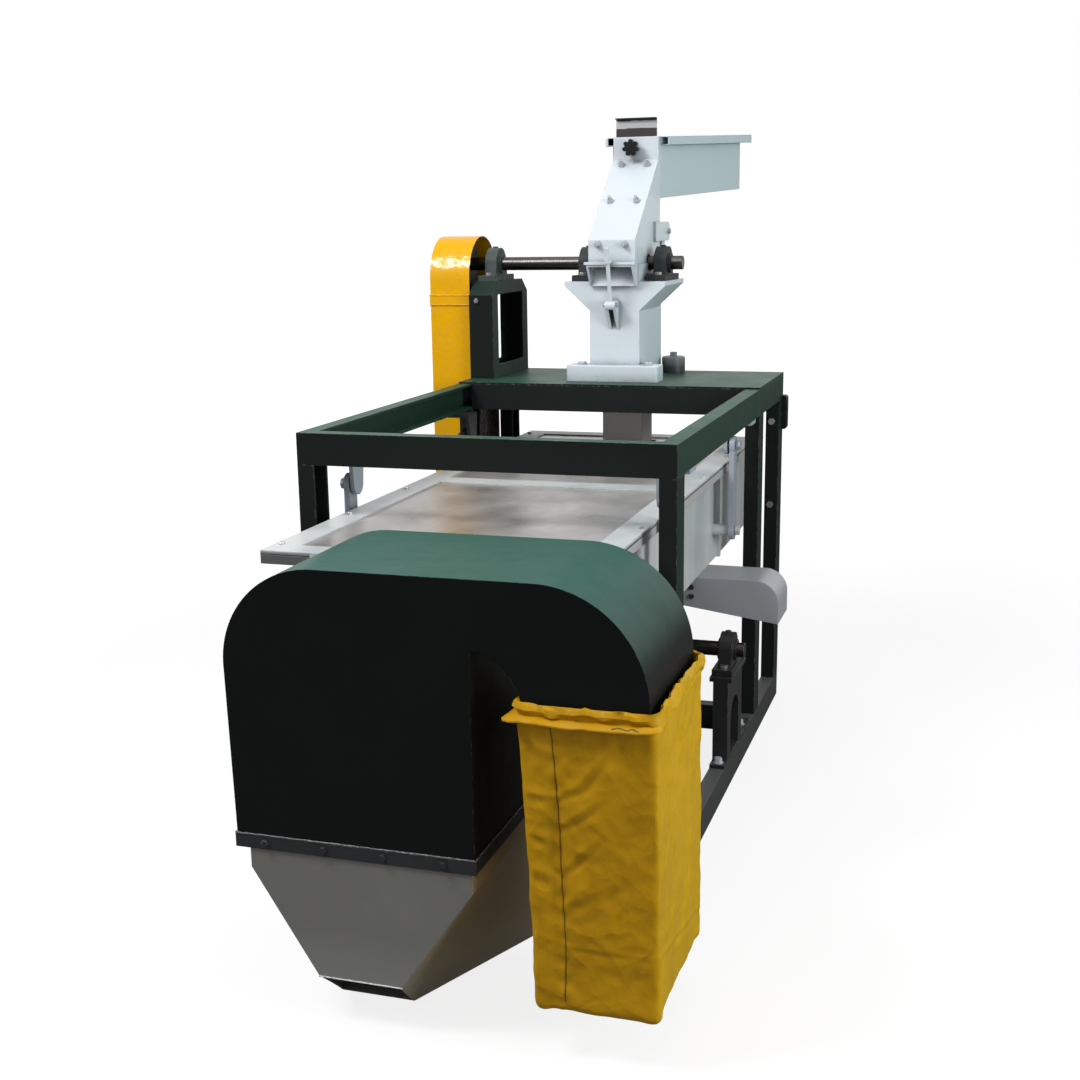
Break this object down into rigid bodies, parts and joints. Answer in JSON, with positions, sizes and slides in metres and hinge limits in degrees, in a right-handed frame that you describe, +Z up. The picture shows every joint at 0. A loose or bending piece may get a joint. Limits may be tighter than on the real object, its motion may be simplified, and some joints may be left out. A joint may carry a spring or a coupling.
{
  "type": "wheat cracking machine",
  "caption": "Floor-standing wheat cracking machine: hammer mill with feed tray on a channel frame, belt guard, shaking screen box below, hood with spout and bag.",
  "frame": {"origin": "on the floor under the middle of the frame, at the centre of the anchor holes", "axes": "+X to the operator's right, +Y from the hood to the feed tray, +Z up"},
  "size_m": [1.176, 2.71, 1.798],
  "materials": {
    "frame_paint": "satin",
    "mill_paint": "satin",
    "guard_paint": "gloss",
    "hood_paint": "gloss",
    "box_metal": "satin",
    "cover_metal": "gloss",
    "spout_paint": "satin",
    "dark_paint": "satin",
    "grey_paint": "satin",
    "motor_paint": "satin",
    "steel": "satin",
    "zinc": "satin",
    "iron": "matte",
    "belt_rubber": "matte",
    "gasket_rubber": "matte",
    "knob_plastic": "satin",
    "bag_cloth": "matte",
    "link_metal": "satin"
  },
  "bodies": {
    "base": {"top_ring": "frame_paint", "mid_rail": "frame_paint", "posts": "frame_paint", "low_frame": "frame_paint", "table_plate": "frame_paint", "mill_foot": "mill_paint", "lower_casing": "mill_paint", "mill_pins": "steel", "mill_sieve": "steel", "mill_bearings": "iron", "ecc_bearings": "iron", "frame_bolts": "zinc", "pedestal": "frame_paint", "boss": "grey_paint", "discharge_duct": "mill_paint", "mill_belts": "belt_rubber", "screen_belt": "belt_rubber", "guard_body": "guard_paint", "guard_cap": "guard_paint", "guard_spacers": "zinc", "motor": "motor_paint", "terminal_box": "motor_paint", "fan_cover": "motor_paint", "motor_plate": "frame_paint", "hanger_brackets": "link_metal", "ecc_stands": "dark_paint"},
    "mill_rotor": {"mill_shaft": "steel", "rotor": "steel", "mill_pulley": "iron"},
    "motor_rotor": {"motor_shaft": "steel", "motor_pulley": "iron"},
    "ecc_rotor": {"ecc_shaft": "steel", "eccentrics": "steel", "ecc_pulley": "iron"},
    "upper_casing": {"upper_casing": "mill_paint", "front_cover": "mill_paint", "cover_studs": "zinc", "hopper": "mill_paint"},
    "gate": {"gate": "grey_paint"},
    "knob": {"gate_knob": "knob_plastic"},
    "swing_bolt": {"swing_bolt": "zinc"},
    "screen": {"trough": "box_metal", "box_rim": "box_metal", "gasket": "gasket_rubber", "cover_front": "cover_metal", "cover_rear": "cover_metal", "cover_strips": "box_metal", "cover_screws": "zinc", "sieve_decks": "steel", "side_chute": "grey_paint", "trunk_bolts": "zinc", "hood": "hood_paint", "hood_flange": "dark_paint", "spout": "spout_paint", "bag": "bag_cloth"},
    "link_left_front": {"link_left_front": "link_metal"},
    "link_left_rear": {"link_left_rear": "link_metal"},
    "link_right_front": {"link_right_front": "link_metal"},
    "link_right_rear": {"link_right_rear": "link_metal"},
    "conrods": {"conrods": "dark_paint"}
  },
  "joints": [
    {"name": "mill_spin", "type": "hinge", "parent": "base", "child": "mill_rotor", "pos_m": [0, 0.56, 1.373], "axis": [1, 0, 0], "continuous": true},
    {"name": "motor_spin", "type": "hinge", "parent": "base", "child": "motor_rotor", "pos_m": [0, 0.56, 0.217], "axis": [1, 0, 0], "continuous": true},
    {"name": "ecc_spin", "type": "hinge", "parent": "base", "child": "ecc_rotor", "pos_m": [0, -0.01, 0.364], "axis": [1, 0, 0], "continuous": true},
    {"name": "casing_hinge", "type": "hinge", "parent": "base", "child": "upper_casing", "pos_m": [0, 0.783, 1.463], "axis": [-1, 0, 0], "range_deg": [0, 85]},
    {"name": "gate_slide", "type": "slide", "parent": "upper_casing", "child": "gate", "axis": [0, 0, 1], "range_m": [0, 0.11]},
    {"name": "knob_turn", "type": "hinge", "parent": "upper_casing", "child": "knob", "pos_m": [-0.008, 0.663, 1.71], "axis": [0, -1, 0], "range_deg": [0, 360]},
    {"name": "latch_swing", "type": "hinge", "parent": "base", "child": "swing_bolt", "pos_m": [0, 0.381, 1.258], "axis": [1, 0, 0], "range_deg": [-14, 166]},
    {"name": "screen_shake", "type": "slide", "parent": "base", "child": "screen", "axis": [0, 1, 0], "range_m": [-0.008, 0.008]},
    {"name": "conrod_rock", "type": "hinge", "parent": "screen", "child": "conrods", "pos_m": [0, -0.425, 0.51], "axis": [1, 0, 0], "range_deg": [-1, 1]},
    {"name": "link_left_front_swing", "type": "hinge", "parent": "base", "child": "link_left_front", "pos_m": [0, -0.59, 0.885], "axis": [1, 0, 0], "range_deg": [-3, 3]},
    {"name": "link_left_rear_swing", "type": "hinge", "parent": "base", "child": "link_left_rear", "pos_m": [0, 0.215, 0.885], "axis": [1, 0, 0], "range_deg": [-3, 3]},
    {"name": "link_right_front_swing", "type": "hinge", "parent": "base", "child": "link_right_front", "pos_m": [0, -0.59, 0.885], "axis": [1, 0, 0], "range_deg": [-3, 3]},
    {"name": "link_right_rear_swing", "type": "hinge", "parent": "base", "child": "link_right_rear", "pos_m": [0, 0.215, 0.885], "axis": [1, 0, 0], "range_deg": [-3, 3]}
  ],
  "couplings": [
    {"joint": "motor_spin", "follows": "mill_spin", "ratio": 0.65},
    {"joint": "ecc_spin", "follows": "mill_spin", "ratio": 0.1625},
    {"joint": "link_left_front_swing", "follows": "screen_shake", "rad_per_m": 4.1667},
    {"joint": "link_left_rear_swing", "follows": "screen_shake", "rad_per_m": 4.1667},
    {"joint": "link_right_front_swing", "follows": "screen_shake", "rad_per_m": 4.1667},
    {"joint": "link_right_rear_swing", "follows": "screen_shake", "rad_per_m": 4.1667}
  ]
}
